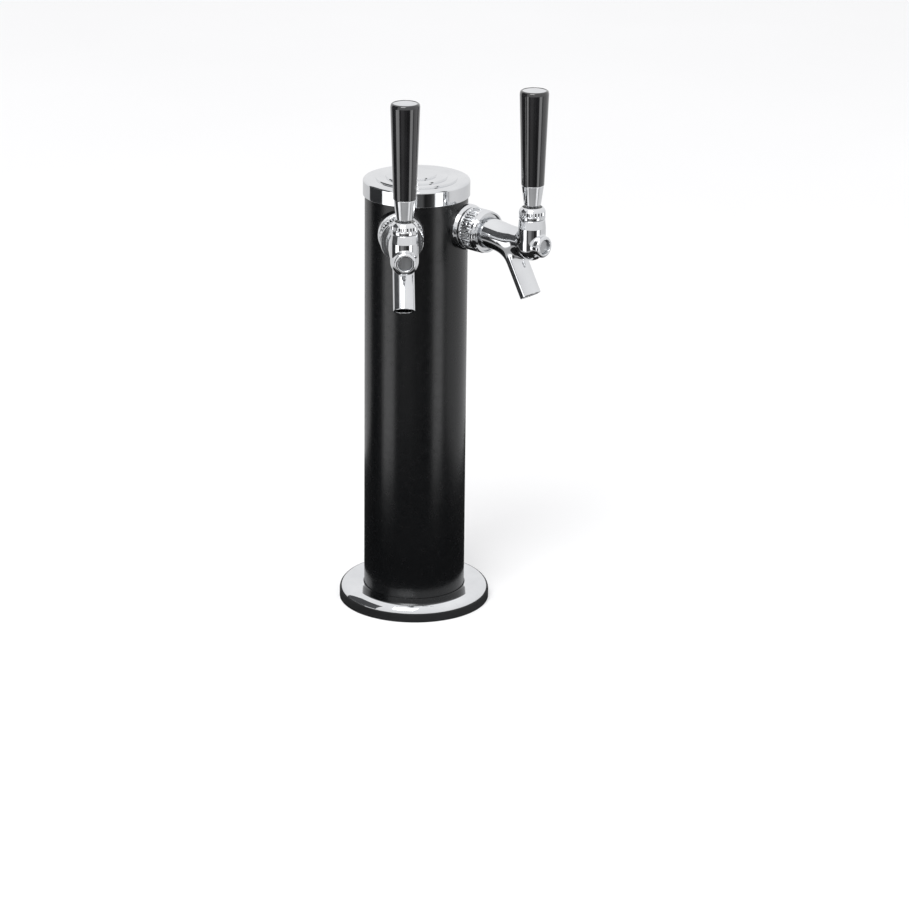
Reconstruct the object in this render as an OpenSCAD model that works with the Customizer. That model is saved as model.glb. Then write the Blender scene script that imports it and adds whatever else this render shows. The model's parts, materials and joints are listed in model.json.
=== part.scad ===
// Two-faucet beer tap tower: a 3 in column with two rear-sealing faucets.
// Origin: centre of the base's underside. +Z up, the faucets point towards -Y.

/* [Column] */
// Outside diameter of the column tube
column_d = 76.2; // [70:0.1:82]
// Wall thickness of the column tube
column_wall = 1.5; // [1:0.1:2]
// Height of the column's top edge above the worktop
column_top = 326; // [322:0.5:340]
// Height of the faucet line above the worktop
shank_z = 297.3; // [296:0.1:299]

/* [Base] */
// Outside diameter of the flange cover
cover_d = 113.6; // [111:0.1:120]
// Height of the flange cover's neck round the column
cover_h = 12; // [11.5:0.1:14]
// Thickness of the rubber base gasket
gasket_t = 1.5; // [1:0.1:2]
// Thickness of the mounting flange's plate
plate_t = 3; // [2:0.1:3.5]
// Diameter of the circle through the base screw holes
base_pcd = 91; // [90:0.1:92]
// Diameter of the base screw holes
base_hole_d = 5.5; // [4:0.1:5.6]

/* [Cap] */
// Outside diameter of the cap
cap_d = 78.9; // [78.5:0.1:82]
// Height of the cap's lower edge
cap_z = 316.9; // [316.8:0.1:319]

/* [Faucets] */
// Angle of each faucet to the tower's front
splay = 21.8; // [20:0.1:23]
// Sideways offset of each shank line from the tower's axis
line_offset = 12.75; // [12.5:0.01:13.5]
// Shank thread diameter
shank_d = 22.2; // [21:0.1:22.4]
// Diameter of the beer passage in the shank
beer_bore = 7.2; // [5:0.1:8]
// Distance of the lever's pivot along the faucet line
lever_u = 103; // [102:0.1:105]
// Outside diameter of the spout
spout_d = 15.7; // [15:0.1:16]
// Diameter of the spout's outlet bore
outlet_d = 12; // [11:0.1:12.4]
// Angle of the spout's end to the vertical
spout_lean = 30; // [28:0.5:32]

/* [Handles] */
// Height of the handle above the lever's pivot
handle_h = 93.5; // [88:0.5:98]
// Diameter of the grip at its widest
grip_d = 21; // [20:0.1:24]

/* [Hidden] */
$fn = 96;

e = 0.02; // overshoot of a cut past the face it opens
fit = 0.05; // radial clearance of sliding and screwed fits
slide_gap = 0.35; // radial clearance of the parts that slide on the column
face_gap = 0.03; // between the column's wall and the parts clamped to it

// Column and base
col_r = column_d / 2;
col_in = col_r - column_wall;
plate_top = gasket_t + plate_t;
base_open = 34; // radius of the opening for the beer lines
collar_h = 20; // height of the flange's collar inside the column
plate_r = cover_d / 2 - 4.8;
cover_t = 1.2;
cover_round = 7; // radius of the cover's shoulder
cover_crest = cover_h + 1.1;
cover_in = col_r + slide_gap;
cover_lip = 0.9; // wall of the cover's neck round the column
cover_lip_h = 2.4;
screw_z = plate_top + 3.9; // height of the column's fixing screws
screw_r = 1.95;
screw_head_r = 3.4;
sleeve_in = 24; // inside radius of the insulation

// Cap
cap_r = cap_d / 2;
cap_plate_z = column_top + 0.2;
cap_rim_z = column_top + 3;
cap_round = 1.8;
cap_steps = [30, 22.7, 14.5]; // radii of the raised terraces
cap_step_h = 1.2;
plug_r = 35.2;
plug_wall = 1.8;
plug_z = cap_plate_z - 11.4;
seal_z = cap_plate_z - 6.3;
seal_r = 1.15;

// Beer line inside the column
riser_u = 7.3; // place of the riser along the faucet line
riser_r = 3.97;
riser_bore = 3;
riser_top = shank_z - 5;
tail_r = 3.97;
tail_z = 3; // height of the tail's open end
tail_socket_z = 25;
tail_socket_r = 5.5;
elbow_end = 14; // inner end of the shank
elbow_r = 6.6;
elbow_drop = 18; // from the faucet line down to the elbow's end
spigot_r = 5; // bore in the shank that takes the elbow's spigot
spigot_len = 4;

// Shank and coupling
thread_r = shank_d / 2;
thread_gap = 0.3; // round the shank where it passes through a plain hole
nut_u = [16, 22]; // lock nut, inside the column
nut_flats = 27; // lock nut across flats
ring_r = 16.9; // wall ring, at its back
ring_front_r = 15.8;
ring_front = 43.5;
coupling_u = [44, 61];
coupling_r = 15.8;
spanner_r = 1.6; // spanner holes round the coupling nut
flange_u = [46.8, 49.5]; // the shank's front flange
flange_r = 13.2;
body_u = 50.5; // rear face of the faucet body
body_thread_r = 14.2;
body_thread_end = 59.5;

// Faucet body
seat_u = 66; // valve seat
shaft_back = 58.6; // inner end of the shaft
chamber_r = 8;
passage_r = 5.25;
guide_r = 7.9;
guide_front = lever_u + 13;
shaft_front = guide_front - 2;
boss_r = 10;
boss_top = shank_z + 19;
neck_r = 8.4; // bonnet thread on top of the boss
neck_top = boss_top + 4.5;
boss_bore = 7.35;
bore_floor = shank_z + 13.8;
spout_r = spout_d / 2;
bend_r = 32; // radius of the spout's bend, at its axis
bend_end_z = shank_z - bend_r * (1 - sin(spout_lean));
tip_u = lever_u - 0.1; // centre of the spout's end
tip_z = shank_z - 38.9;
spout_len = (bend_end_z - tip_z) / cos(spout_lean);
bend_u = tip_u - spout_len * sin(spout_lean) - bend_r * cos(spout_lean);
outlet_depth = 16;
spout_bore = 4.6;

// Lever and valve
pivot_z = shank_z + 20;
ball_r = 5.9;
seat_r = 6; // spherical seats of the washers
finger_r = 1.6;
finger_tip_r = 2.4;
slot_half = 2.9; // half the width of the slot the finger swings in
neck_pin_r = 2.9;
stud_r = 4.76;
dome_r = 10.8; // bonnet's dome, centred on the pivot
dome_cut = pivot_z + 7.8;
bonnet_mouth = 7.1;
bonnet_r = 9.5;
ribs_top = boss_top + 6.3;
shaft_r = passage_r - fit;
rod_r = 2.6;
bolt_r = 1.9;
washer_r = 6.9;

// Handle
handle_top = pivot_z + handle_h;
ferrule_z = [pivot_z + 9.3, pivot_z + 24];
ferrule_r = [6, 8.1];
skirt_gap = 0.3; // between the ferrule and the bonnet's dome
grip_low_r = 8.25;
grip_r = grip_d / 2;
shoulder_r = 1.5; // rounding of the grip's top edge
disc_r = 8.5;
insert_r = 6.5;
insert_top = ferrule_z[1] + 16;

// Places its children on a faucet line: X runs outwards from the tower, Y sideways, Z up
module faucet_line(side) {
    mirror([side < 0 ? 1 : 0, 0, 0])
    translate([line_offset * cos(splay), line_offset * sin(splay), 0])
    rotate([0, 0, splay - 90])
    children();
}

// A solid of revolution about the faucet line; the outline's points are [place along the line, radius]
module turned(points) {
    translate([0, 0, shank_z])
    rotate([0, 90, 0])
    rotate_extrude()
    polygon([for (p = points) [p[1], p[0]]]);
}

// A round bar or bore along the faucet line
module bar(from, to, r) {
    translate([from, 0, shank_z])
    rotate([0, 90, 0])
    cylinder(r = r, h = to - from);
}

// A ring that stands upright
module ring(r_in, r_out, z0, z1) {
    translate([0, 0, z0])
    difference() {
        cylinder(r = r_out, h = z1 - z0);
        translate([0, 0, -e]) cylinder(r = r_in, h = z1 - z0 + 2 * e);
    }
}

// Points of a quarter turn about c, from angle a0 to a1
function arc(c, r, a0, a1, steps = 6) =
    [for (i = [0 : steps]) let (a = a0 + (a1 - a0) * i / steps) c + r * [cos(a), sin(a)]];

module base_holes(z0, z1) {
    for (a = [45 : 90 : 315])
        rotate([0, 0, a])
        translate([base_pcd / 2, 0, z0 - e])
        cylinder(d = base_hole_d, h = z1 - z0 + 2 * e);
}

module screw_places() {
    for (a = [90 : 120 : 330])
        rotate([0, 0, a])
        translate([0, 0, screw_z])
        rotate([0, 90, 0])
        children();
}

module base_gasket() {
    color("#1c1c1d")
    difference() {
        ring(base_open, plate_r + 1, 0, gasket_t);
        base_holes(0, gasket_t);
    }
}

module mounting_flange() {
    color("#a7aaad")
    difference() {
        union() {
            ring(base_open, plate_r, gasket_t, plate_top);
            ring(base_open, col_in - 0.1, plate_top - e, plate_top + collar_h);
        }
        base_holes(gasket_t, plate_top);
        screw_places() translate([0, 0, base_open - 2]) cylinder(r = screw_r, h = 6);
    }
}

module column() {
    color("#17181a")
    difference() {
        ring(col_in, col_r, plate_top, column_top);
        screw_places() {
            translate([0, 0, col_in - 1]) cylinder(r = screw_r + fit, h = 4);
            translate([0, 0, col_in])
            cylinder(r1 = screw_r, r2 = screw_head_r, h = column_wall + 0.1);
        }
        for (side = [-1, 1]) faucet_line(side) bar(nut_u[0], ring_front, thread_r + thread_gap);
    }
}

module column_screws() {
    color("#8c8f92")
    intersection() {
        screw_places() {
            translate([0, 0, base_open - 1]) cylinder(r = screw_r, h = col_in - base_open + 1 + e);
            translate([0, 0, col_in])
            cylinder(r1 = screw_r, r2 = screw_head_r, h = column_wall + 0.1);
        }
        cylinder(r = col_r, h = column_top);
    }
}

// Half section of the flange cover, drawn in by t
function cover_outline(t) = concat(
    [[cover_d / 2 - t, 0]],
    arc([cover_d / 2 - cover_round, cover_crest - cover_round], cover_round - t, 0, 90, 9),
    [[col_r + 3.4, cover_h + 0.1 - t], [col_r + 2.2, cover_h - t]]);

module flange_cover() {
    color("#c9ccd0")
    rotate_extrude()
    difference() {
        polygon(concat([[cover_in, 0]], cover_outline(0), [[cover_in, cover_h]]));
        polygon(concat([[cover_in - 1, -e], [cover_d / 2 - cover_t, -e]], cover_outline(cover_t),
            [[cover_in + cover_lip, cover_h - cover_t], [cover_in + cover_lip, cover_h - cover_lip_h],
             [cover_in - 1, cover_h - cover_lip_h]]));
    }
}

module cap() {
    color("#c9ccd0")
    rotate_extrude()
    difference() {
        union() {
            polygon(concat([[0, cap_z], [cap_r, cap_z]],
                arc([cap_r - cap_round, cap_rim_z - cap_round], cap_round, 0, 90),
                [[0, cap_rim_z]]));
            for (i = [0 : len(cap_steps) - 1])
                polygon([[0, cap_rim_z - 1], [cap_steps[i], cap_rim_z - 1],
                    [cap_steps[i], cap_rim_z + cap_step_h * (i + 1) - 0.4],
                    [cap_steps[i] - 0.4, cap_rim_z + cap_step_h * (i + 1)],
                    [0, cap_rim_z + cap_step_h * (i + 1)]]);
            translate([plug_r - plug_wall, plug_z]) square([plug_wall, cap_plate_z - plug_z + e]);
        }
        translate([plug_r, cap_z - e])
        square([col_r + slide_gap - plug_r, cap_plate_z - cap_z + e]);
        translate([0, cap_z - e]) square([plug_r - plug_wall, cap_plate_z - cap_z + e]);
        translate([plug_r - seal_r + 0.05, seal_z - seal_r]) square([seal_r, 2 * seal_r]);
    }
}

module cap_seal() {
    color("#1c1c1d")
    translate([0, 0, seal_z])
    rotate_extrude()
    translate([plug_r + 0.05, 0])
    circle(r = seal_r);
}

module insulation_sleeve() {
    color("#5b5e61")
    ring(sleeve_in, col_in - 0.2, plate_top + collar_h + 4, shank_z - 30);
}

module wall_ring(side) {
    color("#c9ccd0")
    difference() {
        faucet_line(side)
        turned([[nut_u[1], thread_r + thread_gap], [nut_u[1], ring_r], [ring_front - 2.5, ring_r],
            [ring_front, ring_front_r], [ring_front, thread_r + thread_gap]]);
        translate([0, 0, shank_z - 30]) cylinder(r = col_r + face_gap, h = 60);
    }
}

module shank(side) {
    color("#c2a25a")
    faucet_line(side) difference() {
        turned([[elbow_end, 0], [elbow_end, thread_r - 0.8], [elbow_end + 0.8, thread_r],
            [flange_u[0], thread_r], [flange_u[0], flange_r], [flange_u[1], flange_r],
            [flange_u[1], 0]]);
        bar(elbow_end - e, flange_u[1] + e, beer_bore / 2);
        bar(elbow_end - e, elbow_end + spigot_len, spigot_r);
    }
}

module inner_saddle(side) {
    color("#8c8f92")
    intersection() {
        faucet_line(side) difference() {
            bar(nut_u[1], ring_front, nut_flats / 2);
            bar(nut_u[1] - e, ring_front + e, thread_r + thread_gap);
        }
        translate([0, 0, shank_z - 30]) cylinder(r = col_in - face_gap, h = 60);
    }
}

module lock_nut(side) {
    color("#c2a25a")
    faucet_line(side) difference() {
        translate([nut_u[0], 0, shank_z])
        rotate([0, 90, 0])
        cylinder(d = nut_flats / cos(30), h = nut_u[1] - nut_u[0], $fn = 6);
        bar(nut_u[0] - e, nut_u[1] + e, thread_r + fit);
    }
}

module elbow(side) {
    color("#c2a25a")
    faucet_line(side) difference() {
        union() {
            bar(riser_u, elbow_end, elbow_r);
            bar(elbow_end - e, elbow_end + spigot_len - 0.2, spigot_r - fit);
            translate([riser_u, 0, shank_z - elbow_drop]) cylinder(r = elbow_r, h = elbow_drop);
            translate([riser_u, 0, shank_z]) sphere(r = elbow_r);
        }
        bar(riser_u, elbow_end + spigot_len, beer_bore / 2);
        translate([riser_u, 0, shank_z - elbow_drop - e])
        cylinder(r = riser_r + fit, h = riser_top + elbow_drop - shank_z + 1);
        translate([riser_u, 0, riser_top]) cylinder(r = riser_bore, h = shank_z - riser_top);
    }
}

module riser_tube(side) {
    color("#a7aaad")
    faucet_line(side)
    translate([riser_u, 0, 0])
    ring(riser_bore, riser_r, tail_socket_z + 2, riser_top);
}

module riser_tail(side) {
    color("#a7aaad")
    faucet_line(side)
    translate([riser_u, 0, 0])
    difference() {
        union() {
            translate([0, 0, tail_z]) cylinder(r = tail_r, h = tail_socket_z - tail_z + e);
            translate([0, 0, tail_socket_z]) cylinder(r = tail_socket_r, h = 12);
        }
        translate([0, 0, tail_z - e]) cylinder(r = riser_bore, h = 40);
        translate([0, 0, tail_socket_z + 2]) cylinder(r = riser_r + fit, h = 12);
    }
}

module coupling_nut(side) {
    color("#c9ccd0")
    faucet_line(side) difference() {
        turned([[coupling_u[0], thread_r + 0.25], [coupling_u[0], coupling_r - 1],
            [coupling_u[0] + 1, coupling_r], [coupling_u[1] - 3.4, coupling_r],
            [coupling_u[1] - 0.6, coupling_r - 1.6], [coupling_u[1], coupling_r - 1.75],
            [coupling_u[1], body_thread_r + fit], [flange_u[0] - 0.3, body_thread_r + fit],
            [flange_u[0] - 0.3, thread_r + 0.25]]);
        for (a = [0 : 60 : 300])
            translate([coupling_u[0] + 8, 0, shank_z])
            rotate([a, 0, 0])
            translate([0, 0, coupling_r - 1.2])
            cylinder(r = spanner_r, h = 3);
    }
}

module coupling_gasket(side) {
    color("#1c1c1d")
    faucet_line(side) difference() {
        bar(flange_u[1], body_u, flange_r - 0.2);
        bar(flange_u[1] - e, body_u + e, chamber_r);
    }
}

// A bar or bore on the straight part of the spout, over a length counted back from the tip
module spout_bar(r, from, to) {
    translate([tip_u, 0, tip_z])
    rotate([0, -spout_lean, 0])
    translate([0, 0, from])
    cylinder(r = r, h = to - from);
}

// Half section of the boss: a cylinder with a round bottom
module boss_outline() {
    intersection() {
        union() {
            translate([0, shank_z - 2]) circle(r = boss_r);
            translate([0, shank_z - 2]) square([boss_r, boss_top - shank_z + 2]);
        }
        translate([0, shank_z - 20]) square([2 * boss_r, 40]);
    }
}

// The bend that turns the spout down from the barrel
module spout_bend() {
    translate([bend_u, 0, shank_z - bend_r])
    rotate([90, 0, 0])
    rotate([0, 0, spout_lean])
    rotate_extrude(angle = 90 - spout_lean)
    translate([bend_r, 0])
    circle(r = spout_r);
}

module faucet_body(side) {
    color("#c9ccd0")
    faucet_line(side) difference() {
        union() {
            turned([[body_u, 0], [body_u, body_thread_r], [body_thread_end, body_thread_r],
                [body_thread_end + 0.6, 10.9], [64, 10.5], [78, 9.6], [lever_u, 8.8], [lever_u, 0]]);
            translate([lever_u, 0, 0]) rotate_extrude() boss_outline();
            translate([lever_u, 0, boss_top - e]) cylinder(r = neck_r, h = neck_top - boss_top);
            turned([[lever_u - 5, 0], [lever_u - 5, guide_r], [guide_front - 1, guide_r],
                [guide_front, guide_r - 1], [guide_front, 0]]);
            spout_bend();
            spout_bar(spout_r, 0, spout_len);
        }
        bar(body_u - e, seat_u, chamber_r);
        bar(seat_u - e, guide_front + e, passage_r);
        spout_bar(spout_bore, outlet_depth - 1, (shank_z - tip_z) / cos(spout_lean));
        spout_bar(outlet_d / 2, -e, outlet_depth);
        translate([lever_u, 0, bore_floor]) cylinder(r = boss_bore, h = 20);
        translate([lever_u, slot_half, 0])
        rotate([90, 0, 0])
        linear_extrude(height = 2 * slot_half)
        polygon([[-12.2, shank_z + 2], [3.2, shank_z + 2], [3.2, bore_floor + e],
            [-5.2, bore_floor + e]]);
    }
}

module shaft(side) {
    color("#9a9da1")
    faucet_line(side) difference() {
        turned([[shaft_back, 0], [shaft_back, bolt_r], [seat_u - 0.1, bolt_r], [seat_u - 0.1, rod_r],
            [lever_u - 10, rod_r], [lever_u - 8, shaft_r], [shaft_front - 0.6, shaft_r],
            [shaft_front, shaft_r - 0.6], [shaft_front, 0]]);
        translate([lever_u, slot_half - 0.2, 0])
        rotate([90, 0, 0])
        linear_extrude(height = 2 * slot_half - 0.4)
        polygon([[-2.75, shank_z - 2.9], [2.75, shank_z - 2.9], [2.75, shank_z + 2],
            [4.3, shank_z + 6], [-2.75, shank_z + 6]]);
    }
}

module seat_washer(side) {
    color("#2a2a2b")
    faucet_line(side) difference() {
        bar(seat_u - 3.2, seat_u - 0.1, washer_r);
        bar(seat_u - 4, seat_u, bolt_r);
    }
}

module shaft_nut(side) {
    color("#9a9da1")
    faucet_line(side) difference() {
        translate([seat_u - 7, 0, shank_z])
        rotate([0, 90, 0])
        cylinder(d = 8 / cos(30), h = 3.8, $fn = 6);
        bar(seat_u - 8, seat_u - 3, bolt_r);
    }
}

module ball_washer(side) {
    color("#e3e1da")
    faucet_line(side)
    translate([lever_u, 0, 0])
    difference() {
        ring(4.9, boss_bore - fit, bore_floor + 0.2, pivot_z - 0.8);
        translate([0, 0, pivot_z]) sphere(r = seat_r);
    }
}

module friction_washer(side) {
    color("#e3e1da")
    faucet_line(side)
    translate([lever_u, 0, 0])
    difference() {
        ring(5.35, boss_bore - fit, pivot_z + 0.6, neck_top);
        translate([0, 0, pivot_z]) sphere(r = seat_r);
    }
}

module bonnet(side) {
    color("#c9ccd0")
    faucet_line(side)
    translate([lever_u, 0, 0])
    difference() {
        union() {
            translate([0, 0, boss_top + 0.3]) cylinder(r = bonnet_r, h = ribs_top - boss_top - 0.3);
            intersection() {
                translate([0, 0, pivot_z]) sphere(r = dome_r);
                translate([0, 0, ribs_top - 1]) cylinder(r = bonnet_r, h = dome_cut - ribs_top + 1);
            }
        }
        translate([0, 0, boss_top]) cylinder(r = neck_r + fit, h = neck_top - boss_top + 0.1);
        translate([0, 0, neck_top]) cylinder(r = bonnet_mouth, h = 10);
    }
}

module lever(side) {
    color("#b9bcc0")
    faucet_line(side)
    translate([lever_u, 0, 0]) {
        translate([0, 0, pivot_z]) sphere(r = ball_r);
        translate([0, 0, shank_z]) cylinder(r = finger_r, h = pivot_z - shank_z);
        translate([0, 0, shank_z]) sphere(r = finger_tip_r);
        translate([0, 0, pivot_z]) cylinder(r = neck_pin_r, h = dome_r + 0.7 + e);
        translate([0, 0, pivot_z + dome_r + 0.7]) cylinder(r = stud_r, h = 25);
    }
}

module ferrule(side) {
    color("#c9ccd0")
    faucet_line(side)
    translate([lever_u, 0, 0])
    difference() {
        translate([0, 0, ferrule_z[0]])
        cylinder(r1 = ferrule_r[0], r2 = ferrule_r[1], h = ferrule_z[1] - ferrule_z[0]);
        translate([0, 0, pivot_z]) sphere(r = dome_r + skirt_gap);
        translate([0, 0, ferrule_z[0]]) cylinder(r = stud_r + fit, h = 20);
    }
}

module handle_insert(side) {
    color("#c2a25a")
    faucet_line(side)
    translate([lever_u, 0, 0])
    ring(stud_r + fit, insert_r, ferrule_z[1], insert_top);
}

module grip(side) {
    color("#0f1011")
    faucet_line(side)
    translate([lever_u, 0, 0])
    difference() {
        rotate_extrude()
        polygon(concat(
            [[0, ferrule_z[1]], [grip_low_r - 0.5, ferrule_z[1]],
             [grip_low_r, ferrule_z[1] + 0.5]],
            arc([grip_r - shoulder_r, handle_top - 2.5], shoulder_r, 0, 80),
            [[disc_r + 0.15, handle_top - 0.5], [0, handle_top - 0.5]]));
        translate([0, 0, ferrule_z[1] - e]) cylinder(r = insert_r, h = insert_top - ferrule_z[1] + e);
        translate([0, 0, handle_top - 1.5]) cylinder(r = disc_r, h = 3);
    }
}

module grip_disc(side) {
    color("#c4c7ca")
    faucet_line(side)
    translate([lever_u, 0, handle_top - 1.5])
    rotate_extrude()
    polygon(concat([[0, 0], [disc_r, 0], [disc_r, 0.8]],
        [for (i = [1 : 6]) let (r = disc_r * (1 - i / 6)) [r, 0.8 + 0.7 * (1 - pow(r / disc_r, 2))]]));
}

base_gasket();
mounting_flange();
column();
column_screws();
flange_cover();
cap();
cap_seal();
insulation_sleeve();
wall_ring(-1);  // left_wall_ring
wall_ring(1);  // right_wall_ring
shank(-1);  // left_shank
shank(1);  // right_shank
inner_saddle(-1);  // left_inner_saddle
inner_saddle(1);  // right_inner_saddle
lock_nut(-1);  // left_lock_nut
lock_nut(1);  // right_lock_nut
elbow(-1);  // left_elbow
elbow(1);  // right_elbow
riser_tube(-1);  // left_riser_tube
riser_tube(1);  // right_riser_tube
riser_tail(-1);  // left_riser_tail
riser_tail(1);  // right_riser_tail
coupling_nut(-1);  // left_coupling_nut
coupling_nut(1);  // right_coupling_nut
coupling_gasket(-1);  // left_coupling_gasket
coupling_gasket(1);  // right_coupling_gasket
faucet_body(-1);  // left_faucet_body
faucet_body(1);  // right_faucet_body
shaft(-1);  // left_shaft
shaft(1);  // right_shaft
seat_washer(-1);  // left_seat_washer
seat_washer(1);  // right_seat_washer
shaft_nut(-1);  // left_shaft_nut
shaft_nut(1);  // right_shaft_nut
ball_washer(-1);  // left_ball_washer
ball_washer(1);  // right_ball_washer
friction_washer(-1);  // left_friction_washer
friction_washer(1);  // right_friction_washer
bonnet(-1);  // left_bonnet
bonnet(1);  // right_bonnet
lever(-1);  // left_lever
lever(1);  // right_lever
ferrule(-1);  // left_ferrule
ferrule(1);  // right_ferrule
handle_insert(-1);  // left_handle_insert
handle_insert(1);  // right_handle_insert
grip(-1);  // left_grip
grip(1);  // right_grip
grip_disc(-1);  // left_grip_disc
grip_disc(1);  // right_grip_disc
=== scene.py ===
"""Looks of a two-faucet beer tap tower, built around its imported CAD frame.

Outlines are in millimetres, because turned parts are drawn that way; every piece is placed in metres.
"""
import json
import math
from functools import reduce

import bmesh
import bpy
import numpy as np
from mathutils import Matrix, Vector


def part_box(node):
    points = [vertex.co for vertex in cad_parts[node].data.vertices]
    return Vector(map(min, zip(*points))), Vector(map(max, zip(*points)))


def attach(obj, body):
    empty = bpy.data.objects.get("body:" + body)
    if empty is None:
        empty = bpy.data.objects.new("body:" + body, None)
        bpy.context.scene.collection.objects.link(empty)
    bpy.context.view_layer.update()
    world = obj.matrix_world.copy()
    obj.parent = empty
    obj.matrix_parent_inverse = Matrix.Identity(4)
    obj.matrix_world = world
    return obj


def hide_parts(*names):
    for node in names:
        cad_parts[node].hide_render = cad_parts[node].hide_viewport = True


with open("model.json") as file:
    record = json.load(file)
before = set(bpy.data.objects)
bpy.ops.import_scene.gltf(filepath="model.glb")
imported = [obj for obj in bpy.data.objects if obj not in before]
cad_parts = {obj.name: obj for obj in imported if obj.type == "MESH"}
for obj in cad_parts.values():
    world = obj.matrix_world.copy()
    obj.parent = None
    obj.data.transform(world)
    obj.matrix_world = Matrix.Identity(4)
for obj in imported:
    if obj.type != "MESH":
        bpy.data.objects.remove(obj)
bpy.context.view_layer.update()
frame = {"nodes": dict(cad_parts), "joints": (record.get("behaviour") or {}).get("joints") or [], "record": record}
JOINTS = {joint["name"]: joint for joint in frame["joints"]}
MM = 0.001

# How the photographer stood: distances in metres, angles in degrees
CAMERA_AWAY = 2.400
CAMERA_UP = 0.9702
FRONT_TURN = 24.306  # the tower's front is turned this far to the camera's right
CAMERA_PAN = 0.7148
CAMERA_TILT = 19.635
CAMERA_ROLL = 0.615
CAMERA_LENS = 133.73


# ---------------------------------------------------------------- camera and studio

def add_camera():
    """The camera stands in front of the tower's left faucet and looks down on it."""
    pan, tilt, roll = (math.radians(a) for a in (CAMERA_PAN, CAMERA_TILT, CAMERA_ROLL))
    look = Vector((math.sin(pan) * math.cos(tilt), math.cos(pan) * math.cos(tilt), -math.sin(tilt)))
    level = Vector((math.cos(pan), -math.sin(pan), 0))
    upward = level.cross(look)
    right = level * math.cos(roll) + upward * math.sin(roll)
    top = upward * math.cos(roll) - level * math.sin(roll)
    turn = Matrix.Rotation(math.radians(-FRONT_TURN), 4, "Z")
    pose = Matrix((right, top, -look)).transposed().to_4x4()
    pose.translation = (0, -CAMERA_AWAY, CAMERA_UP)
    camera = bpy.data.objects.new("camera", bpy.data.cameras.new("camera"))
    camera.data.lens = CAMERA_LENS
    camera.data.sensor_width = 36
    camera.data.clip_end = 60
    camera.matrix_world = turn @ pose
    bpy.context.scene.collection.objects.link(camera)
    bpy.context.scene.camera = camera


def add_area(name, place, target, size, power):
    """A rectangular soft box that faces the target."""
    data = bpy.data.lights.new(name, "AREA")
    data.shape = "RECTANGLE"
    data.size, data.size_y = size
    data.energy = power
    light = bpy.data.objects.new(name, data)
    light.location = place
    light.rotation_euler = (Vector(target) - Vector(place)).to_track_quat("-Z", "Y").to_euler()
    bpy.context.scene.collection.objects.link(light)


def add_stage_plane(name, corners, material):
    """A flat sheet of the studio, which isn't part of the object."""
    mesh = bpy.data.meshes.new(name)
    mesh.from_pydata([Vector(c) for c in corners], [], [(0, 1, 2, 3)])
    plane = bpy.data.objects.new(name, mesh)
    plane.data.materials.append(material)
    bpy.context.scene.collection.objects.link(plane)
    return plane


def add_card(name, corners, material):
    """A sheet of the studio that only shows in reflections."""
    card = add_stage_plane(name, corners, material)
    card.visible_camera = card.visible_diffuse = card.visible_shadow = card.visible_transmission = False


# Greys of the studio round the tower: degrees to the camera's right as seen from the tower, and brightness
SURROUNDINGS = [
    (-180, 0.70), (-122, 0.70), (-116, 0.06), (-80, 0.06), (-76, 1.9), (-50, 1.9), (-46, 0.05), (-35, 0.07),
    (-30, 0.28), (-8, 0.22), (-3, 0.10), (13, 0.08), (18, 0.012), (30, 0.03), (39, 0.10), (43, 1.9),
    (62, 1.9), (66, 0.25), (71, 0.25), (76, 0.75), (180, 0.70)]
# Greys from straight down (0) through the horizon (0.5) to straight up (1), where the walls don't show
ABOVE_AND_BELOW = [(0, 0.02), (0.10, 0.03), (0.16, 0.45), (0.40, 0.45), (0.42, 0.85), (1, 1.0)]
WALL_SHARE = [(0, 0), (0.24, 0), (0.29, 1), (0.41, 1), (0.45, 0), (1, 0)]
# Dark flags at the camera's left: from and to in the same degrees, and from and to in height, in metres
SIDE_FLAGS = [((-78, -118), (-0.5, 0.09)), ((-58, -118), (0.09, 1.5))]
FLAG_DISTANCE = 1.5
FLOOR_REACH = 14
WORKTOP_REACH = 0.33  # half the side of the dark worktop round the tower, which only shows in reflections


def grey_ramp(nodes, stops):
    """A colour ramp of greys at places from 0 to 1."""
    ramp = nodes.new("ShaderNodeValToRGB")
    elements = ramp.color_ramp.elements
    elements.remove(elements[1])
    for i, (place, grey) in enumerate(stops):
        stop = elements[0] if i == 0 else elements.new(place)
        stop.position = place
        stop.color = (grey, grey, grey * 1.01, 1)
    return ramp


def square(reach, height):
    """Corners of a level square round the tower's axis."""
    return [(x * reach, y * reach, height) for x, y in ((-1, -1), (1, -1), (1, 1), (-1, 1))]


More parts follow.
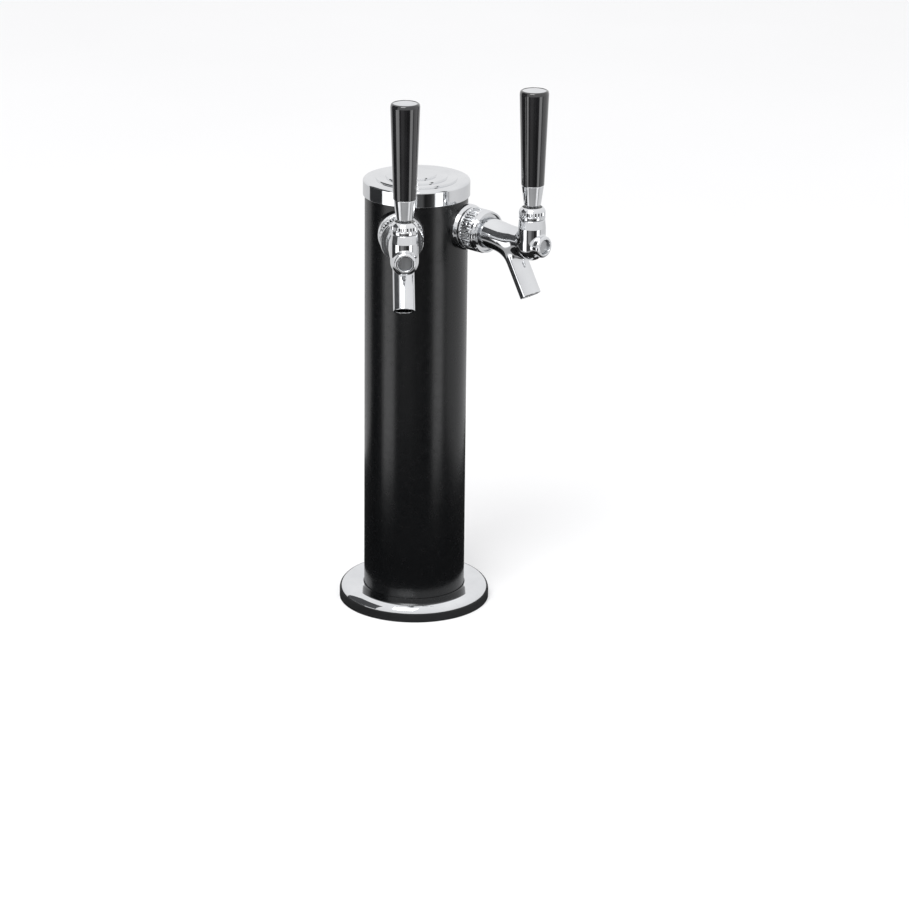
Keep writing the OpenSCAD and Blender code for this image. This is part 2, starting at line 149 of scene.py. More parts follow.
def add_studio():
    """Pale floor, and a studio of light walls with a few dark gaps, a bright ceiling and a soft box."""
    world = bpy.data.worlds.new("studio")
    bpy.context.scene.world = world
    world.use_nodes = True
    nodes, links = world.node_tree.nodes, world.node_tree.links
    turn = nodes.new("ShaderNodeVectorRotate")
    turn.rotation_type = "Z_AXIS"
    turn.inputs["Angle"].default_value = math.radians(FRONT_TURN)
    links.new(nodes.new("ShaderNodeTexCoord").outputs["Generated"], turn.inputs["Vector"])
    split = nodes.new("ShaderNodeSeparateXYZ")
    links.new(turn.outputs["Vector"], split.inputs[0])

    backward = nodes.new("ShaderNodeMath")
    backward.operation = "MULTIPLY"
    backward.inputs[1].default_value = -1
    links.new(split.outputs["Y"], backward.inputs[0])
    azimuth = nodes.new("ShaderNodeMath")
    azimuth.operation = "ARCTAN2"
    links.new(split.outputs["X"], azimuth.inputs[0])
    links.new(backward.outputs[0], azimuth.inputs[1])
    span = nodes.new("ShaderNodeMapRange")
    span.inputs["From Min"].default_value = -math.pi
    span.inputs["From Max"].default_value = math.pi
    links.new(azimuth.outputs[0], span.inputs["Value"])
    walls = grey_ramp(nodes, [(degrees / 360 + 0.5, grey) for degrees, grey in SURROUNDINGS])
    links.new(span.outputs["Result"], walls.inputs["Fac"])

    height = nodes.new("ShaderNodeMapRange")
    height.inputs["From Min"].default_value = -1
    links.new(split.outputs["Z"], height.inputs["Value"])
    ends = grey_ramp(nodes, ABOVE_AND_BELOW)
    links.new(height.outputs["Result"], ends.inputs["Fac"])
    share = grey_ramp(nodes, WALL_SHARE)
    links.new(height.outputs["Result"], share.inputs["Fac"])
    mix = nodes.new("ShaderNodeMix")
    mix.data_type = "RGBA"
    links.new(share.outputs["Color"], mix.inputs[0])
    links.new(ends.outputs["Color"], mix.inputs[6])
    links.new(walls.outputs["Color"], mix.inputs[7])
    links.new(mix.outputs[2], nodes["Background"].inputs["Color"])

    floor = add_stage_plane("floor", square(FLOOR_REACH, 0), floor_material())
    floor.visible_glossy = False
    add_card("worktop_card", square(WORKTOP_REACH, -MM), card_material("dark_card", 0.014))
    grey_card = card_material("grey_card", 0.06)
    for i, (turns, (low, high)) in enumerate(SIDE_FLAGS):
        near, far = (Vector((math.cos(a), math.sin(a), 0)) * FLAG_DISTANCE
                     for a in (math.radians(degrees - 90 - FRONT_TURN) for degrees in turns))
        foot, head = Vector((0, 0, low)), Vector((0, 0, high))
        add_card(f"side_flag_{i + 1}", [near + foot, far + foot, far + head, near + head], grey_card)

    add_area("key", (-1.2, -1.3, 2.2), (0, 0, 0.2), (1.4, 1.4), 36)
    bpy.context.scene.view_settings.view_transform = "Standard"


# ---------------------------------------------------------------- materials

def new_material(name):
    """An empty node material with its principled shader and real-size coordinates."""
    material = bpy.data.materials.new(name)
    material.use_nodes = True
    nodes = material.node_tree.nodes
    coords = nodes.new("ShaderNodeTexCoord")
    return material, nodes, material.node_tree.links, nodes["Principled BSDF"], coords.outputs["Object"]


def noise(nodes, links, coords, size, detail=3.0, stretch=(1, 1, 1)):
    """Noise whose grain is about size metres."""
    mapping = nodes.new("ShaderNodeMapping")
    mapping.inputs["Scale"].default_value = stretch
    texture = nodes.new("ShaderNodeTexNoise")
    texture.inputs["Scale"].default_value = 1 / size
    texture.inputs["Detail"].default_value = detail
    links.new(coords, mapping.inputs["Vector"])
    links.new(mapping.outputs["Vector"], texture.inputs["Vector"])
    return texture.outputs["Fac"]


def vary(nodes, links, source, low, high, target):
    """Spreads a 0 to 1 source over low to high and feeds it to a socket."""
    spread = nodes.new("ShaderNodeMapRange")
    spread.inputs["From Min"].default_value = 0.3
    spread.inputs["From Max"].default_value = 0.7
    spread.inputs["To Min"].default_value = low
    spread.inputs["To Max"].default_value = high
    links.new(source, spread.inputs["Value"])
    links.new(spread.outputs["Result"], target)


def tint(nodes, links, source, dark, light, target):
    """Runs a 0 to 1 source from one colour to another."""
    ramp = nodes.new("ShaderNodeValToRGB")
    ramp.color_ramp.elements[0].position = 0.3
    ramp.color_ramp.elements[1].position = 0.7
    ramp.color_ramp.elements[0].color = (*dark, 1)
    ramp.color_ramp.elements[1].color = (*light, 1)
    links.new(source, ramp.inputs["Fac"])
    links.new(ramp.outputs["Color"], target)


def bump(nodes, links, source, shader, height):
    """Turns a source into relief of the given height in metres."""
    relief = nodes.new("ShaderNodeBump")
    relief.inputs["Distance"].default_value = height
    relief.inputs["Strength"].default_value = 1.0
    links.new(source, relief.inputs["Height"])
    links.new(relief.outputs["Normal"], shader.inputs["Normal"])


def card_material(name, grey):
    """Dull, slightly bluish grey for a studio card."""
    material, nodes, links, shader, coords = new_material(name)
    tint(nodes, links, noise(nodes, links, coords, 0.1), (grey * 0.9, grey * 0.93, grey * 0.98),
         (grey, grey * 1.03, grey * 1.08), shader.inputs["Base Color"])
    shader.inputs["Roughness"].default_value = 0.9
    return material


def floor_material():
    """Pale, dull floor that is nearly plain."""
    material, nodes, links, shader, coords = new_material("pale_floor")
    tint(nodes, links, noise(nodes, links, coords, 0.6), (0.90, 0.90, 0.90), (0.92, 0.92, 0.92),
         shader.inputs["Base Color"])
    shader.inputs["Roughness"].default_value = 0.9
    shader.inputs["Specular IOR Level"].default_value = 0.1
    return material


def metal(name, dark, light, rough, grain, relief, brushed=(1, 1, 1)):
    """A bare or plated metal: slight tint changes, smudged gloss and fine relief."""
    material, nodes, links, shader, coords = new_material(name)
    shader.inputs["Metallic"].default_value = 1.0
    smudge = noise(nodes, links, coords, 0.018, 4)
    tint(nodes, links, smudge, dark, light, shader.inputs["Base Color"])
    vary(nodes, links, noise(nodes, links, coords, grain * 4, 5, brushed), *rough, shader.inputs["Roughness"])
    bump(nodes, links, noise(nodes, links, coords, grain, 2, brushed), shader, relief)
    return material


def powder_coat():
    """Satin black powder coat with its fine orange peel."""
    material, nodes, links, shader, coords = new_material("black_paint")
    tint(nodes, links, noise(nodes, links, coords, 0.03, 4), (0.0020, 0.0023, 0.0027),
         (0.0028, 0.0031, 0.0036), shader.inputs["Base Color"])
    vary(nodes, links, noise(nodes, links, coords, 0.004, 5), 0.22, 0.28, shader.inputs["Roughness"])
    shader.inputs["Specular IOR Level"].default_value = 0.5
    bump(nodes, links, noise(nodes, links, coords, 0.0011, 3), shader, 0.00002)
    return material


def gloss_black():
    """Moulded black handle plastic with light handling marks."""
    material, nodes, links, shader, coords = new_material("black_plastic")
    tint(nodes, links, noise(nodes, links, coords, 0.02, 4), (0.006, 0.006, 0.0065), (0.010, 0.010, 0.011),
         shader.inputs["Base Color"])
    vary(nodes, links, noise(nodes, links, coords, 0.006, 6), 0.07, 0.12, shader.inputs["Roughness"])
    shader.inputs["Specular IOR Level"].default_value = 0.6
    shader.inputs["Coat Weight"].default_value = 0.8
    shader.inputs["Coat Roughness"].default_value = 0.03
    bump(nodes, links, noise(nodes, links, coords, 0.0025, 2), shader, 0.00001)
    return material


def soft_plastic(name, dark, light, rough, grain, relief):
    """Rubber, nylon or foam: dull, with a grain."""
    material, nodes, links, shader, coords = new_material(name)
    tint(nodes, links, noise(nodes, links, coords, grain * 8, 4), dark, light, shader.inputs["Base Color"])
    vary(nodes, links, noise(nodes, links, coords, grain * 2, 4), *rough, shader.inputs["Roughness"])
    bump(nodes, links, noise(nodes, links, coords, grain, 3), shader, relief)
    return material


def make_materials():
    """The material of each slot of the record."""
    steel_dark, steel_light = (0.42, 0.43, 0.44), (0.55, 0.56, 0.57)
    return {
        "chrome": metal("chrome", (0.72, 0.73, 0.745), (0.80, 0.81, 0.82), (0.035, 0.085), 0.004, 0.000012),
        "black_paint": powder_coat(),
        "black_plastic": gloss_black(),
        "stainless": metal("stainless", steel_dark, steel_light, (0.22, 0.36), 0.0012, 0.000015,
                           (1, 1, 0.08)),
        "zinc_steel": metal("zinc_steel", (0.40, 0.41, 0.43), (0.56, 0.57, 0.58), (0.32, 0.5), 0.002,
                            0.00002),
        "brass": metal("brass", (0.55, 0.38, 0.15), (0.70, 0.50, 0.22), (0.2, 0.34), 0.0015, 0.000015),
        "black_rubber": soft_plastic("black_rubber", (0.012, 0.012, 0.012), (0.022, 0.022, 0.023),
                                     (0.6, 0.8), 0.0008, 0.00003),
        "white_nylon": soft_plastic("white_nylon", (0.70, 0.69, 0.64), (0.80, 0.79, 0.75),
                                    (0.4, 0.55), 0.0008, 0.00001),
        "grey_foam": soft_plastic("grey_foam", (0.05, 0.052, 0.055), (0.11, 0.113, 0.117),
                                  (0.8, 0.95), 0.0012, 0.0003),
    }


# ---------------------------------------------------------------- mesh tools

def rounded(corners, steps=5):
    """Replaces each corner (x, y, radius) of a closed outline by an arc, and returns the points."""
    points = []
    for i, (x, y, radius) in enumerate(corners):
        here = Vector((x, y))
        before = (Vector(corners[i - 1][:2]) - here).normalized()
        after = (Vector(corners[(i + 1) % len(corners)][:2]) - here).normalized()
        half = math.acos(max(-1, min(1, before.dot(after)))) / 2
        if radius == 0 or half > 1.55:
            points.append((x, y))
            continue
        centre = here + (before + after).normalized() * (radius / math.sin(half))
        first = here + before * (radius / math.tan(half)) - centre
        last = here + after * (radius / math.tan(half)) - centre
        sweep = first.angle_signed(last)
        for k in range(steps + 1):
            turned = first.copy()
            turned.rotate(Matrix.Rotation(-sweep * k / steps, 2))
            points.append(tuple(centre + turned))
    return points


def finish_mesh(name, vertices, faces, place, material, normals=None):
    """Makes an object of millimetre vertices, puts it in place and shades it smooth, by the vertex normals if
    they are given."""
    mesh = bpy.data.meshes.new(name)
    mesh.from_pydata(vertices, [], faces)
    mesh.transform(place @ Matrix.Scale(MM, 4))
    work = bmesh.new()
    work.from_mesh(mesh)
    if normals is None:
        bmesh.ops.remove_doubles(work, verts=work.verts, dist=1e-7)
    bmesh.ops.recalc_face_normals(work, faces=work.faces)
    work.to_mesh(mesh)
    work.free()
    mesh.polygons.foreach_set("use_smooth", [True] * len(mesh.polygons))
    if normals is None:
        mesh.set_sharp_from_angle(angle=math.radians(38))
    else:
        turn = place.to_3x3()
        mesh.normals_split_custom_set_from_vertices([turn @ Vector(n) for n in normals])
    mesh.materials.append(MATERIALS[material])
    piece = bpy.data.objects.new(name, mesh)
    bpy.context.scene.collection.objects.link(piece)
    if normals is None:
        piece.modifiers.new("even_shading", "WEIGHTED_NORMAL").keep_sharp = True
    return piece


def lathe(name, outline, place, material, turns=144, relief=None):
    """Turns a closed outline of (radius, height) points round the Z axis. relief(angle, radius, height) is
    added to the radius."""
    vertices, rings = [], []
    for radius, height in outline:
        if radius < 1e-6:
            rings.append([len(vertices)] * turns)
            vertices.append((0, 0, height))
            continue
        rings.append(range(len(vertices), len(vertices) + turns))
        for j in range(turns):
            angle = math.tau * j / turns
            r = radius + (relief(angle, radius, height) if relief else 0)
            vertices.append((r * math.cos(angle), r * math.sin(angle), height))
    faces = []
    for i in range(len(rings)):
        low, high = rings[i], rings[(i + 1) % len(rings)]
        for j in range(turns):
            k = (j + 1) % turns
            face = []
            for v in (low[j], low[k], high[k], high[j]):
                if v not in face:
                    face.append(v)
            if len(face) > 2:
                faces.append(face)
    return finish_mesh(name, vertices, faces, place, material)


def surface_net(field, low, high, step):
    """Vertices, faces and vertex normals of the surface where field(x, y, z) is zero. Each vertex slides onto
    the surface."""
    axes = [np.arange(a, b + step, step) for a, b in zip(low, high)]
    inside = field(*np.meshgrid(*axes, indexing="ij", sparse=True)) < 0
    cells = [n - 1 for n in inside.shape]
    count = sum(inside[i:cells[0] + i, j:cells[1] + j, k:cells[2] + k].astype(np.int8)
                for i in (0, 1) for j in (0, 1) for k in (0, 1))
    active = (count > 0) & (count < 8)
    number = np.full(active.shape, -1)
    number[active] = np.arange(active.sum())
    start = np.argwhere(active) * step + np.array(low) + step / 2
    points = start.copy()

    def slope(at, reach):
        steps = np.eye(3) * step * reach
        return np.stack([field(*(at + d).T) - field(*(at - d).T) for d in steps], 1) / (2 * step * reach)

    for _ in range(8):
        steep = slope(points, 0.02)
        size = np.maximum((steep ** 2).sum(1), 0.25)
        points -= (field(*points.T) / size)[:, None] * steep
        points = np.clip(points, start - step * 0.7, start + step * 0.7)
    normals = slope(points, 0.3)
    normals /= np.linalg.norm(normals, axis=1)[:, None] + 1e-9
    faces = []
    for axis in range(3):
        b, c = (axis + 1) % 3, (axis + 2) % 3
        near = np.take(inside, range(inside.shape[axis] - 1), axis)
        far = np.take(inside, range(1, inside.shape[axis]), axis)
        for flip in (False, True):
            edge = np.argwhere((near & ~far) if not flip else (far & ~near))
            edge = edge[(edge[:, b] > 0) & (edge[:, c] > 0)]
            edge = edge[(edge[:, b] < inside.shape[b] - 1) & (edge[:, c] < inside.shape[c] - 1)]
            ring = []
            for db, dc in ((1, 1), (0, 1), (0, 0), (1, 0)):
                cell = edge.copy()
                cell[:, b] -= db
                cell[:, c] -= dc
                ring.append(number[tuple(cell.T)])
            quads = np.stack(ring if not flip else ring[::-1], 1)
            faces.extend(quads.tolist())
    return points.tolist(), faces, normals.tolist()


def smooth_min(a, b, width):
    """Union of two fields with a fillet of about that width."""
    near = np.maximum(width - np.abs(a - b), 0) / width
    return np.minimum(a, b) - near * near * width / 4


def smooth_max(a, b, width):
    """Intersection of two fields with a rounded edge of about that width."""
    return -smooth_min(-a, -b, width)


# ---------------------------------------------------------------- places

def heights(node):
    """Lowest and highest point of a CAD node, in millimetres."""
    low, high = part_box(node)
    return low.z / MM, high.z / MM


def radius_of(node):
    """Half the width of an upright round CAD node, in millimetres."""
    low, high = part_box(node)
    return (high.x - low.x) / 2 / MM


class Faucet:
    """Directions and places of one faucet, read from its joints."""

    def __init__(self, side):
        self.side = side
        self.hand = -1 if side == "left" else 1
        self.pivot = Vector(JOINTS[f"{side}_handle_tilt"]["pos_m"])
        self.forward = Vector(JOINTS[f"{side}_valve_slide"]["axis"]).normalized()
        self.across = Vector((0, 0, 1)).cross(self.forward)
        low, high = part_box(f"{side}_coupling_nut")
        self.line_z = (low.z + high.z) / 2

    def upright(self):
        """X forward, Y across, Z up, from the worktop below the lever's pivot."""
        pose = Matrix((self.forward, self.across, Vector((0, 0, 1)))).transposed().to_4x4()
        pose.translation = (self.pivot.x, self.pivot.y, 0)
        return pose

    def level(self):
        """The same directions, from the faucet line below the pivot."""
        return Matrix.Translation((0, 0, self.line_z)) @ self.upright()

    def along(self):
        """Z forward along the faucet line, X up."""
        pose = Matrix((Vector((0, 0, 1)), -self.across, self.forward)).transposed().to_4x4()
        pose.translation = (self.pivot.x, self.pivot.y, self.line_z)
        return pose

    def node(self, name):
        return f"{self.side}_{name}"

    def reach(self, name):
        """How far a CAD node reaches back and forward of the pivot along the faucet line, in millimetres."""
        mesh = frame["nodes"][self.node(name)].data
        places = [(v.co - self.pivot).dot(self.forward) / MM for v in mesh.vertices]
        return min(places), max(places)

    def girth(self, name):
        """Radius of a CAD node that lies on the faucet line, in millimetres."""
        low, high = heights(self.node(name))
        return (high - low) / 2


def show(piece, body, *nodes):
    """The piece stands for these CAD nodes and moves with their body."""
    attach(piece, body)
    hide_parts(*nodes)


UPRIGHT = Matrix.Identity(4)


# ---------------------------------------------------------------- tower

SLIDE_GAP = 0.35  # radial clearance of what slides on the column
COVER_WALL = 1.2
COVER_CREST = 1.1  # how far the flange cover's top stands above its neck
COVER_ROUND = 7  # radius of its shoulder
CAP_STEP = 1.2  # height of each of the cap's raised rings
CAP_RINGS = (14.5, 22.7, 30)  # their radii
CAP_SKIRT = 12.1  # height of the cap's rim above its lower edge
PLUG_RADII = (35.2, 33.4)  # outside and inside of the cap's plug


def make_flange_cover():
    """Domed ring with a rolled foot and a fine neck round the column."""
    top = heights("flange_cover")[1]
    outer = radius_of("flange_cover")
    inner = outer - COVER_WALL
    neck = radius_of("column") + SLIDE_GAP
    ledge = top - COVER_CREST
    neck_low = ledge - 2.4
    shoulder = top + 0.4
    outline = rounded([
        (outer, 0, 0.4), (outer, shoulder, COVER_ROUND), (neck + 3, ledge + 0.1, 1), (neck + 1.7, ledge, 0.4),
        (neck, ledge, 0.3), (neck, neck_low, 0), (neck + 0.9, neck_low, 0.3),
        (neck + 2.8, ledge - COVER_WALL, 1), (inner, shoulder - COVER_WALL, COVER_ROUND - COVER_WALL),
        (inner, 0, 0.3)], 10)
    show(lathe("flange_cover_shell", outline, UPRIGHT, "chrome", 224), "flange_cover", "flange_cover")


def make_cap():
    """Cap with a rolled rim and three raised rings, its skirt outside the column and its plug inside."""
    plug_low, top = heights("cap")
    outer = radius_of("cap")
    column_top = heights("column")[1]
    rim = top - 3 * CAP_STEP
    skirt_low = rim - CAP_SKIRT
    skirt = radius_of("column") + SLIDE_GAP
    plug, plug_inside = PLUG_RADII
    ceiling = column_top + 0.2
    corners = [(0, top, 0)]
    for step, radius in enumerate(CAP_RINGS):
        corners += [(radius, top - step * CAP_STEP, 0.5), (radius + 0.25, top - (step + 1) * CAP_STEP, 0.25)]
    corners += [(outer, rim, 1.8), (outer, skirt_low, 0.35), (skirt, skirt_low, 0.3), (skirt, ceiling, 0),
                (plug, ceiling, 0), (plug, plug_low, 0.5), (plug_inside, plug_low, 0.5),
                (plug_inside, ceiling, 0), (0, ceiling, 0)]
    show(lathe("cap_shell", rounded(corners, 6), UPRIGHT, "chrome", 224), "cap", "cap")


# ---------------------------------------------------------------- faucets

KNURL_PITCH = 2.3  # spacing of the coupling nut's ribs
RIB_PITCH = 2.4  # spacing of the bonnet's ribs
FLANGE_LIP = 2  # from the shank's radius at its flange, its widest part, down to a close bore over its thread
THREAD = 14.25  # radius of the coupling nut's threaded bore
DOME = 10.8  # radius of the bonnet's top, round the lever's pivot
MOUTH = 7.1  # radius of the bonnet's mouth
BOSS_BORE = 8.45  # radius of its bore over the boss
STUD_HOLE = 4.81  # radius of the ferrule's hole
FERRULE_HOLLOW = 11.1  # radius of the ferrule's hollow foot, round the lever's pivot
FERRULE_FOOT = 6.02


def ribs(pitch, radius, depth, low, high):
    """Relief of straight ribs round a turned part, between two heights."""
    number = round(math.tau * radius / pitch)

    def relief(angle, r, height):
        if r < radius - depth or not low < height < high:
            return 0
        return -depth * (0.5 - 0.5 * math.cos(number * angle)) ** 0.7
    return relief


def make_wall_ring(faucet):
    """Ring between the column and the nut, its back cut to the column's curve."""
    back, front = faucet.reach("wall_ring")
    radius = faucet.girth("wall_ring")
    bore = faucet.girth("shank") - FLANGE_LIP
    side_step = abs(faucet.across.dot(faucet.pivot)) / MM
    origin = faucet.forward.dot(Vector((faucet.pivot.x, faucet.pivot.y, 0))) / MM
    column = radius_of("column") + 0.03
    profile = rounded([(bore, front, 0.3), (radius - 1.1, front, 0.6), (radius, front - 2.5, 1.5),
                       (radius, front - 6, 0)], 5)[:-1]
    turns = 144
    vertices, faces = [], []
    for j in range(turns):
        angle = math.tau * j / turns
        up, out = math.cos(angle), math.sin(angle)
        ring = [(r * up, r * out, z) for r, z in profile]
        for r in (radius, bore):
            aside = side_step - faucet.hand * r * out
            ring.append((r * up, r * out, math.sqrt(column ** 2 - aside ** 2) - origin))
        vertices += ring
    n = len(profile) + 2
    for j in range(turns):
        k = (j + 1) % turns
        for i in range(n):
            m = (i + 1) % n
            faces.append((j * n + i, k * n + i, k * n + m, j * n + m))
    piece = finish_mesh(faucet.node("wall_ring_plate"), vertices, faces, faucet.along(), "chrome")
    show(piece, "tower", faucet.node("wall_ring"))


def drill(piece, place, radius, height, hole, count=6):
    """Cuts blind spanner holes into the side of a turned piece."""
    work = bmesh.new()
    for i in range(count):
        turn = Matrix.Rotation(math.tau * i / count, 4, "Z") @ Matrix.Translation((radius + 0.3, 0, height))
        bmesh.ops.create_cone(work, cap_ends=True, segments=24, radius1=hole, radius2=hole, depth=3,
                              matrix=turn @ Matrix.Rotation(math.pi / 2, 4, "Y"))
    mesh = bpy.data.meshes.new("drills")
    bmesh.ops.transform(work, matrix=place @ Matrix.Scale(MM, 4), verts=work.verts)
    work.to_mesh(mesh)
    work.free()
    drills = bpy.data.objects.new("drills", mesh)
    bpy.context.scene.collection.objects.link(drills)
    shading = piece.modifiers["even_shading"]
    shading.show_viewport = False
    cut = piece.modifiers.new("holes", "BOOLEAN")
    cut.operation = "DIFFERENCE"
    cut.solver = "EXACT"
    cut.object = drills
    evaluated = piece.evaluated_get(bpy.context.evaluated_depsgraph_get())
    whole = piece.data
    piece.data = bpy.data.meshes.new_from_object(evaluated)
    piece.modifiers.remove(cut)
    shading.show_viewport = True
    bpy.data.meshes.remove(whole)
    bpy.data.objects.remove(drills)
    bpy.data.meshes.remove(mesh)


def make_coupling_nut(faucet):
    """Ribbed nut with a plain lip, and its spanner holes."""
    back, front = faucet.reach("coupling_nut")
    radius = faucet.girth("coupling_nut")
    bore = faucet.girth("shank") - FLANGE_LIP + 0.2
    lip = back + 2.5
    band = [(radius, back + 2.6 + 0.5 * i, 0) for i in range(1, 18)]
    outline = rounded([
        (bore, back, 0.2), (radius, back, 0.9), (radius, back + 1.6, 0.3), (radius - 0.5, back + 2.1, 0.2),
        (radius, back + 2.6, 0.3)] + band + [
        (radius, back + 11.6, 0.3), (radius - 0.5, back + 12.1, 0.2), (radius - 0.1, back + 12.7, 0.4),
        (radius - 0.1, front - 2.6, 1.5), (radius - 1.6, front, 0.5), (THREAD, front, 0.3), (THREAD, lip, 0),
        (bore, lip, 0)], 4)
    relief = ribs(KNURL_PITCH, radius - 0.01, 0.7, back + 2.7, back + 11.5)
    piece = lathe(faucet.node("coupling_nut_ribbed"), outline, faucet.along(), "chrome", 480, relief)
    drill(piece, faucet.along(), radius, back + 8, 1.6)
    show(piece, "tower", faucet.node("coupling_nut"))


def make_bonnet(faucet):
    """Ribbed collar over the boss, with a domed top and a round mouth for the lever."""
    low, high = heights(faucet.node("bonnet"))
    pivot = faucet.pivot.z / MM
    radius = radius_of(faucet.node("bonnet"))
    ribs_top = low + 5.7
    boss_top = low + 4.3
    arc = []
    steep = math.asin((ribs_top + 0.9 - pivot) / DOME)
    flat = math.asin((high - pivot) / DOME)
    for i in range(9):
        angle = steep + (flat - steep) * i / 8
        arc.append((DOME * math.cos(angle), pivot + DOME * math.sin(angle), 0))
    foot = [(BOSS_BORE, low, 0.1), (radius, low, 0.3), (radius, low + 2.2, 0.25)]
    groove = [(radius - 0.5, low + 2.3, 0.1), (radius - 0.5, low + 2.6, 0.1), (radius, low + 2.7, 0.1)]
    band = [(radius, low + 2.9 + 0.25 * i, 0) for i in range(11)]
    edge = [(radius, ribs_top, 0.2), (radius - 0.35, ribs_top + 0.4, 0)]
    inside = [(MOUTH, high, 0.25), (MOUTH, boss_top, 0), (BOSS_BORE, boss_top, 0)]
    outline = rounded(foot + groove + band + edge + arc + inside, 4)
    piece = lathe(faucet.node("bonnet_ribbed"), outline, faucet.upright(), "chrome", 360,
                  ribs(RIB_PITCH, radius - 0.01, 0.6, low + 2.8, ribs_top - 0.2))
    show(piece, "tower", faucet.node("bonnet"))


def make_handle(faucet):
    """Ferrule, tapered grip and the domed disc in its top."""
    body = f"{faucet.side}_handle"
    low, high = heights(faucet.node("ferrule"))
    pivot = faucet.pivot.z / MM
    inner, outer = math.asin(STUD_HOLE / FERRULE_HOLLOW), math.asin(FERRULE_FOOT / FERRULE_HOLLOW)
    arc = [(FERRULE_HOLLOW * math.sin(a), pivot + FERRULE_HOLLOW * math.cos(a), 0)
           for a in np.linspace(inner, outer, 6)]
    cone = [(FERRULE_FOOT + 0.1, low + 0.25, 0.1), (7.98, high - 0.5, 0.3), (7.85, high, 0.2),
            (STUD_HOLE, high, 0)]
    piece = lathe(faucet.node("ferrule_cone"), rounded(arc + cone, 4), faucet.upright(), "chrome")
    show(piece, body, faucet.node("ferrule"))

    bottom, top = heights(faucet.node("grip"))
    disc_low, disc_top = heights(faucet.node("grip_disc"))
    widest = radius_of(faucet.node("grip"))
    insert = radius_of(faucet.node("handle_insert"))
    insert_top = heights(faucet.node("handle_insert"))[1]
    disc = radius_of(faucet.node("grip_disc"))
    outline = rounded([
        (insert, bottom, 0), (8.25, bottom, 0.4), (widest, top - 2.5, 4), (widest - 0.5, top, 1.4),
        (disc + 0.02, top, 0.25), (disc + 0.02, disc_low, 0), (0, disc_low, 0), (0, insert_top, 0),
        (insert, insert_top, 0)], 8)
    piece = lathe(faucet.node("grip_taper"), outline, faucet.upright(), "black_plastic")
    show(piece, body, faucet.node("grip"))

    fall = disc_top - disc_low - 0.75
    dome = [(disc * (1 - i / 10), disc_top - fall * (1 - i / 10) ** 2, 0) for i in range(11)]
    outline = rounded([(0, disc_low, 0), (disc, disc_low, 0)] + dome, 3)
    piece = lathe(faucet.node("grip_disc_dome"), outline, faucet.upright(), "chrome")
    show(piece, body, faucet.node("grip_disc"))


# The faucet body is a field in millimetres: X forward from the lever, Y across, Z up from the faucet line
FIELD_BOX = ((-53.5, -15, -47), (14, 15, 24.5))
FIELD_STEP = 0.5
SPOUT_LEAN = math.radians(30)
SPOUT_BEND = 32
SPOUT_TIP = (-0.1, -38.9)
SPOUT_RADIUS = 7.85
OUTLET = (6.0, 16)  # radius and depth
BARREL_ENDS = [-42.9, -39, -25, 0]  # places of the barrel's radii
BARREL_RADII = [10.9, 10.5, 9.6, 8.8]
TAIL_END = -52.5
COLLAR = (14.2, -48, 4.5)  # radius, middle and half its length
BOSS_HEIGHTS = [12.5, 19]  # heights of the boss's radii
BOSS_RADII = [10, 9.3]
BOSS_BALL = -2  # height of the middle of its round foot
BOSS_TOP = BOSS_HEIGHTS[1]
NECK = (8.4, 4.5)  # radius, and half its length about the boss's top
GUIDE = (7.9, 4, 9)  # radius, middle and half its length
SPOUT_BACK = -41.4  # the blended spout ends here, before the collar
CHAMBER = (8, -37)  # radius and front end
PASSAGE = 5.25
WATERWAY = 4.6
SOCKET = (7.35, 13.8)  # radius and floor
SLOT = (2.9, 8, 6)  # half its width, middle and half its height


def spout_places(x, z):
    """Distance in the faucet's plane from the spout's axis, and the place along its straight part."""
    away = Vector((math.sin(SPOUT_LEAN), -math.cos(SPOUT_LEAN)))
    tip = Vector(SPOUT_TIP)
    length = (SPOUT_BEND * (math.sin(SPOUT_LEAN) - 1) - tip.y) / math.cos(SPOUT_LEAN)
    start = tip - away * length
    centre = start - Vector((math.cos(SPOUT_LEAN), math.sin(SPOUT_LEAN))) * SPOUT_BEND
    along = (x - start.x) * away.x + (z - start.y) * away.y
    beside = (x - start.x) * -away.y + (z - start.y) * away.x
    bent = np.hypot(x - centre.x, z - centre.y) - SPOUT_BEND
    return np.where(along > 0, beside, bent), along - length, beside


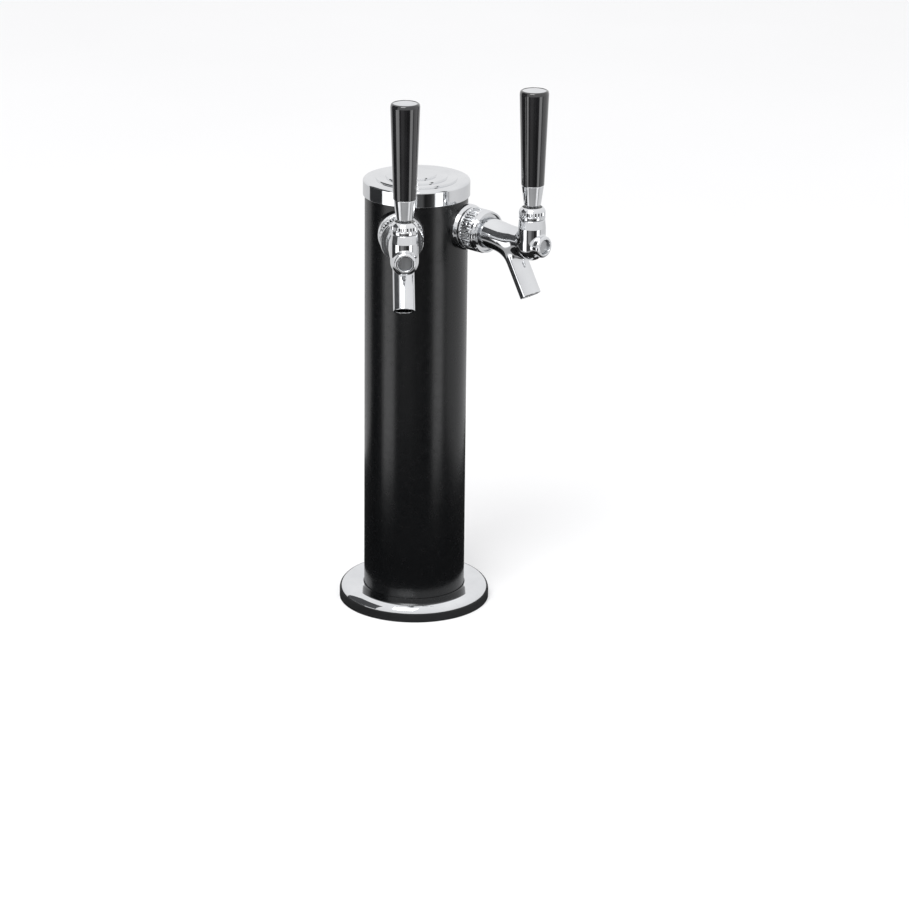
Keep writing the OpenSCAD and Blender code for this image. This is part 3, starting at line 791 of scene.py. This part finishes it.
def faucet_field(x, y, z):
    """Outside of the casting less its bores. Negative inside the metal."""
    radial = np.hypot(y, z)
    upright = np.hypot(x, y)
    barrel = smooth_max(radial - np.interp(x, BARREL_ENDS, BARREL_RADII), x, 1)
    barrel = np.maximum(barrel, TAIL_END - x)
    collar = smooth_max(radial - COLLAR[0], np.abs(x - COLLAR[1]) - COLLAR[2], 0.6)
    ball = np.sqrt(x * x + y * y + (z - BOSS_BALL) ** 2)
    boss = np.where(z > BOSS_BALL, upright, ball) - np.interp(z, BOSS_HEIGHTS, BOSS_RADII)
    boss = smooth_max(boss, z - BOSS_TOP, 0.8)
    neck = np.maximum(upright - NECK[0], np.abs(z - BOSS_TOP) - NECK[1])
    guide = smooth_max(radial - GUIDE[0], np.abs(x - GUIDE[1]) - GUIDE[2], 2.2)
    bend, past_tip, beside = spout_places(x, z)
    spout = np.hypot(bend, y) - SPOUT_RADIUS
    spout = np.maximum(spout, SPOUT_BACK - x)
    casting = smooth_min(barrel, spout, 7)
    casting = smooth_min(casting, boss, 2.5)
    casting = smooth_min(casting, guide, 1.5)
    casting = smooth_max(casting, past_tip, 0.7)
    casting = np.minimum(np.minimum(casting, neck), collar)

    chamber = np.maximum(radial - CHAMBER[0], x - CHAMBER[1])
    passage = radial - PASSAGE
    straight = np.hypot(beside, y)
    outlet = np.maximum(straight - OUTLET[0], -OUTLET[1] - past_tip)
    waterway = np.maximum(straight - WATERWAY, z)
    waterway = np.maximum(waterway, past_tip + 12)
    socket = np.maximum(upright - SOCKET[0], SOCKET[1] - z)
    slot = np.maximum(np.abs(y) - SLOT[0], np.abs(z - SLOT[1]) - SLOT[2])
    slot_back = (-12.2 - x) * 0.86 + (z - 2) * 0.5  # slopes, to clear the lever's finger at full tilt
    slot = np.maximum(slot, np.maximum(x - 3.2, slot_back))
    bores = reduce(np.minimum, (chamber, passage, outlet, waterway, socket, slot))
    return smooth_max(casting, -bores, 0.4)


def make_faucet_bodies(faucets):
    """Both bodies share one casting: barrel, boss, front guide and spout, blended as one."""
    vertices, faces, normals = surface_net(faucet_field, *FIELD_BOX, FIELD_STEP)
    for faucet in faucets:
        piece = finish_mesh(faucet.node("faucet_casting"), vertices, faces, faucet.level(), "chrome", normals)
        show(piece, "tower", faucet.node("faucet_body"))


# ---------------------------------------------------------------- CAD nodes that stay

def dress_nodes():
    """Gives every CAD node the material of its slot."""
    slots = {part["node"]: part["material_slot"] for part in frame["record"]["subparts"]}
    for name, node in frame["nodes"].items():
        for place in node.material_slots:
            place.material = MATERIALS[slots[name]]


MATERIALS = make_materials()
add_camera()
add_studio()
dress_nodes()
make_flange_cover()
make_cap()
both_faucets = [Faucet("left"), Faucet("right")]
for each_faucet in both_faucets:
    make_wall_ring(each_faucet)
    make_coupling_nut(each_faucet)
    make_bonnet(each_faucet)
    make_handle(each_faucet)
make_faucet_bodies(both_faucets)
